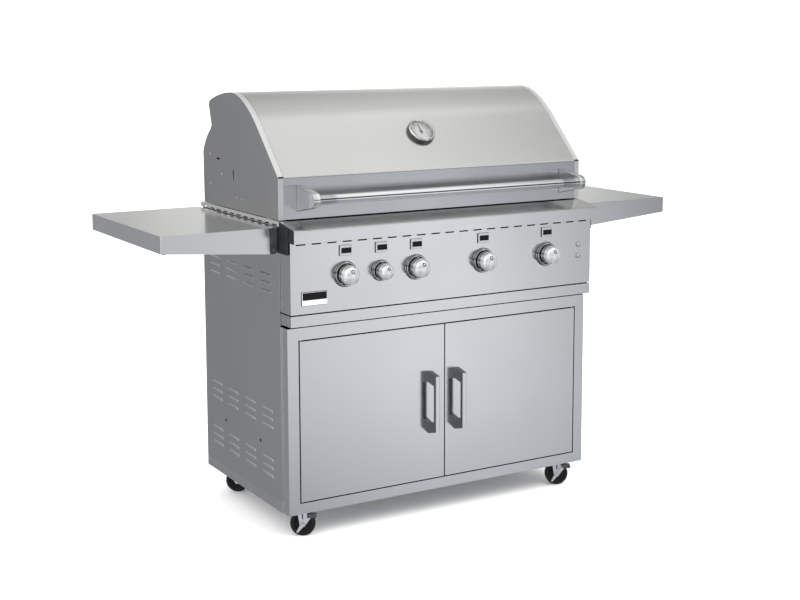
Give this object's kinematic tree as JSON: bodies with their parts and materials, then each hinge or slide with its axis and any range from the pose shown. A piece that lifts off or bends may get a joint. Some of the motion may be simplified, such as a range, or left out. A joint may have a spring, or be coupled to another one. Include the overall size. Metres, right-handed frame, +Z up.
{
  "type": "gas barbecue grill",
  "caption": "Stainless gas barbecue grill with a roll-top lid, control panel with knobs, fold-down side shelves, drip tray and a cupboard cart on casters",
  "frame": {"origin": "Middle of the footprint of the bounding box, on the floor", "axes": "+X to the right seen from the front, +Y from the doors to the back, +Z up"},
  "size_m": [1.786, 0.6986, 1.2962],
  "materials": {
    "stainless_satin": "satin",
    "stainless_hood": "satin",
    "polished": "polished",
    "chrome": "polished",
    "knob_metal": "satin",
    "dark_plastic": "matte",
    "firebox_steel": "satin",
    "cast_grate": "matte",
    "brass": "satin",
    "zinc": "satin",
    "tyre": "matte",
    "dial_white": "gloss",
    "needle_black": "matte"
  },
  "bodies": {
    "cart": {"side_panel_left": "stainless_satin", "side_panel_right": "stainless_satin", "back_panel": "stainless_satin", "floor_pan": "stainless_satin", "face_frame": "stainless_satin", "firebox": "firebox_steel", "firebox_rim": "stainless_satin", "back_housing": "stainless_hood", "rear_burner": "firebox_steel", "warming_rack": "firebox_steel", "burner_tubes": "firebox_steel", "flame_tamers": "firebox_steel", "cooking_grates": "cast_grate", "manifold_pipe": "brass", "gas_inlet": "brass", "gas_valves": "brass", "control_panel": "stainless_satin", "front_ledge": "stainless_satin", "knob_bezels": "knob_metal", "label_plates": "dark_plastic", "badge": "dark_plastic", "hood_wall_left": "stainless_satin", "hood_wall_right": "stainless_satin", "wall_screws": "chrome", "shelf_brackets": "dark_plastic", "hinge_pins": "zinc", "caster_plates": "zinc"},
    "lid": {"hood_skin": "stainless_hood", "hood_arms": "stainless_hood", "handle_brackets": "polished", "handle_tube": "polished", "gauge_housing": "chrome", "gauge_dial": "dial_white"},
    "needle": {"gauge_needle": "needle_black"},
    "left_door": {"door_left": "stainless_satin", "door_handle_left": "polished"},
    "right_door": {"door_right": "stainless_satin", "door_handle_right": "polished"},
    "left_shelf": {"shelf_left": "stainless_satin", "shelf_caps_left": "dark_plastic"},
    "right_shelf": {"shelf_right": "stainless_satin", "shelf_caps_right": "dark_plastic"},
    "tray": {"drip_tray": "stainless_satin"},
    "knob_1_turn": {"knob_1": "knob_metal"},
    "knob_2_turn": {"knob_2": "knob_metal"},
    "knob_3_turn": {"knob_3": "knob_metal"},
    "knob_4_turn": {"knob_4": "knob_metal"},
    "knob_5_turn": {"knob_5": "knob_metal"},
    "igniter": {"igniter_button": "chrome"},
    "light_switch": {"light_button": "chrome"},
    "swivel_front_left": {"fork_front_left": "zinc"},
    "rolling_front_left": {"wheel_front_left": "tyre"},
    "lever_front_left": {"brake_front_left": "dark_plastic"},
    "swivel_front_right": {"fork_front_right": "zinc"},
    "rolling_front_right": {"wheel_front_right": "tyre"},
    "lever_front_right": {"brake_front_right": "dark_plastic"},
    "swivel_rear_left": {"fork_rear_left": "zinc"},
    "rolling_rear_left": {"wheel_rear_left": "tyre"},
    "swivel_rear_right": {"fork_rear_right": "zinc"},
    "rolling_rear_right": {"wheel_rear_right": "tyre"}
  },
  "joints": [
    {"name": "lid_roll", "type": "hinge", "parent": "cart", "child": "lid", "pos_m": [0, 0.166, 1.044], "axis": [-1, 0, 0], "range_deg": [0, 80]},
    {"name": "gauge_pointer", "type": "hinge", "parent": "lid", "child": "needle", "pos_m": [0, -0.132, 1.167], "axis": [0, -0.7071, 0.7071], "range_deg": [-150, 120]},
    {"name": "left_door_swing", "type": "hinge", "parent": "cart", "child": "left_door", "pos_m": [-0.488, -0.268, 0.35], "axis": [0, 0, -1], "range_deg": [0, 105]},
    {"name": "right_door_swing", "type": "hinge", "parent": "cart", "child": "right_door", "pos_m": [0.488, -0.268, 0.35], "axis": [0, 0, 1], "range_deg": [0, 105]},
    {"name": "left_shelf_fold", "type": "hinge", "parent": "cart", "child": "left_shelf", "pos_m": [-0.552, 0.056, 0.86], "axis": [0, -1, 0], "range_deg": [0, 90]},
    {"name": "right_shelf_fold", "type": "hinge", "parent": "cart", "child": "right_shelf", "pos_m": [0.552, 0.056, 0.86], "axis": [0, 1, 0], "range_deg": [0, 90]},
    {"name": "tray_pull", "type": "slide", "parent": "cart", "child": "tray", "axis": [0, -1, 0], "range_m": [0, 0.4]},
    {"name": "knob_1_dial", "type": "hinge", "parent": "cart", "child": "knob_1_turn", "pos_m": [-0.358, -0.3015, 0.783], "axis": [0, -1, 0], "range_deg": [0, 210]},
    {"name": "knob_2_dial", "type": "hinge", "parent": "cart", "child": "knob_2_turn", "pos_m": [-0.239, -0.3015, 0.783], "axis": [0, -1, 0], "range_deg": [0, 210]},
    {"name": "knob_3_dial", "type": "hinge", "parent": "cart", "child": "knob_3_turn", "pos_m": [-0.1195, -0.3015, 0.783], "axis": [0, -1, 0], "range_deg": [0, 210]},
    {"name": "knob_4_dial", "type": "hinge", "parent": "cart", "child": "knob_4_turn", "pos_m": [0.1195, -0.3015, 0.783], "axis": [0, -1, 0], "range_deg": [0, 210]},
    {"name": "knob_5_dial", "type": "hinge", "parent": "cart", "child": "knob_5_turn", "pos_m": [0.358, -0.3015, 0.783], "axis": [0, -1, 0], "range_deg": [0, 210]},
    {"name": "igniter_press", "type": "slide", "parent": "cart", "child": "igniter", "axis": [0, 1, 0], "range_m": [0, 0.003], "stiffness_N_per_m": 600},
    {"name": "light_press", "type": "slide", "parent": "cart", "child": "light_switch", "axis": [0, 1, 0], "range_m": [0, 0.003], "stiffness_N_per_m": 600},
    {"name": "swivel_front_left_turn", "type": "hinge", "parent": "cart", "child": "swivel_front_left", "pos_m": [-0.4645, -0.237, 0.097], "axis": [0, 0, 1], "continuous": true},
    {"name": "wheel_front_left_roll", "type": "hinge", "parent": "swivel_front_left", "child": "rolling_front_left", "pos_m": [-0.46971, -0.23403, 0.0375], "axis": [0.4955, 0.8686, 0], "continuous": true},
    {"name": "brake_front_left_press", "type": "hinge", "parent": "swivel_front_left", "child": "lever_front_left", "pos_m": [-0.46971, -0.23403, 0.0375], "axis": [0.4955, 0.8686, 0], "range_deg": [0, 18]},
    {"name": "swivel_front_right_turn", "type": "hinge", "parent": "cart", "child": "swivel_front_right", "pos_m": [0.4645, -0.237, 0.097], "axis": [0, 0, 1], "continuous": true},
    {"name": "wheel_front_right_roll", "type": "hinge", "parent": "swivel_front_right", "child": "rolling_front_right", "pos_m": [0.45929, -0.23403, 0.0375], "axis": [0.4955, 0.8686, 0], "continuous": true},
    {"name": "brake_front_right_press", "type": "hinge", "parent": "swivel_front_right", "child": "lever_front_right", "pos_m": [0.45929, -0.23403, 0.0375], "axis": [0.4955, 0.8686, 0], "range_deg": [0, 18]},
    {"name": "swivel_rear_left_turn", "type": "hinge", "parent": "cart", "child": "swivel_rear_left", "pos_m": [-0.4645, 0.234, 0.097], "axis": [0, 0, 1], "continuous": true},
    {"name": "wheel_rear_left_roll", "type": "hinge", "parent": "swivel_rear_left", "child": "rolling_rear_left", "pos_m": [-0.46971, 0.23697, 0.0375], "axis": [0.4955, 0.8686, 0], "continuous": true},
    {"name": "swivel_rear_right_turn", "type": "hinge", "parent": "cart", "child": "swivel_rear_right", "pos_m": [0.4645, 0.234, 0.097], "axis": [0, 0, 1], "continuous": true},
    {"name": "wheel_rear_right_roll", "type": "hinge", "parent": "swivel_rear_right", "child": "rolling_rear_right", "pos_m": [0.45929, 0.23697, 0.0375], "axis": [0.4955, 0.8686, 0], "continuous": true}
  ]
}
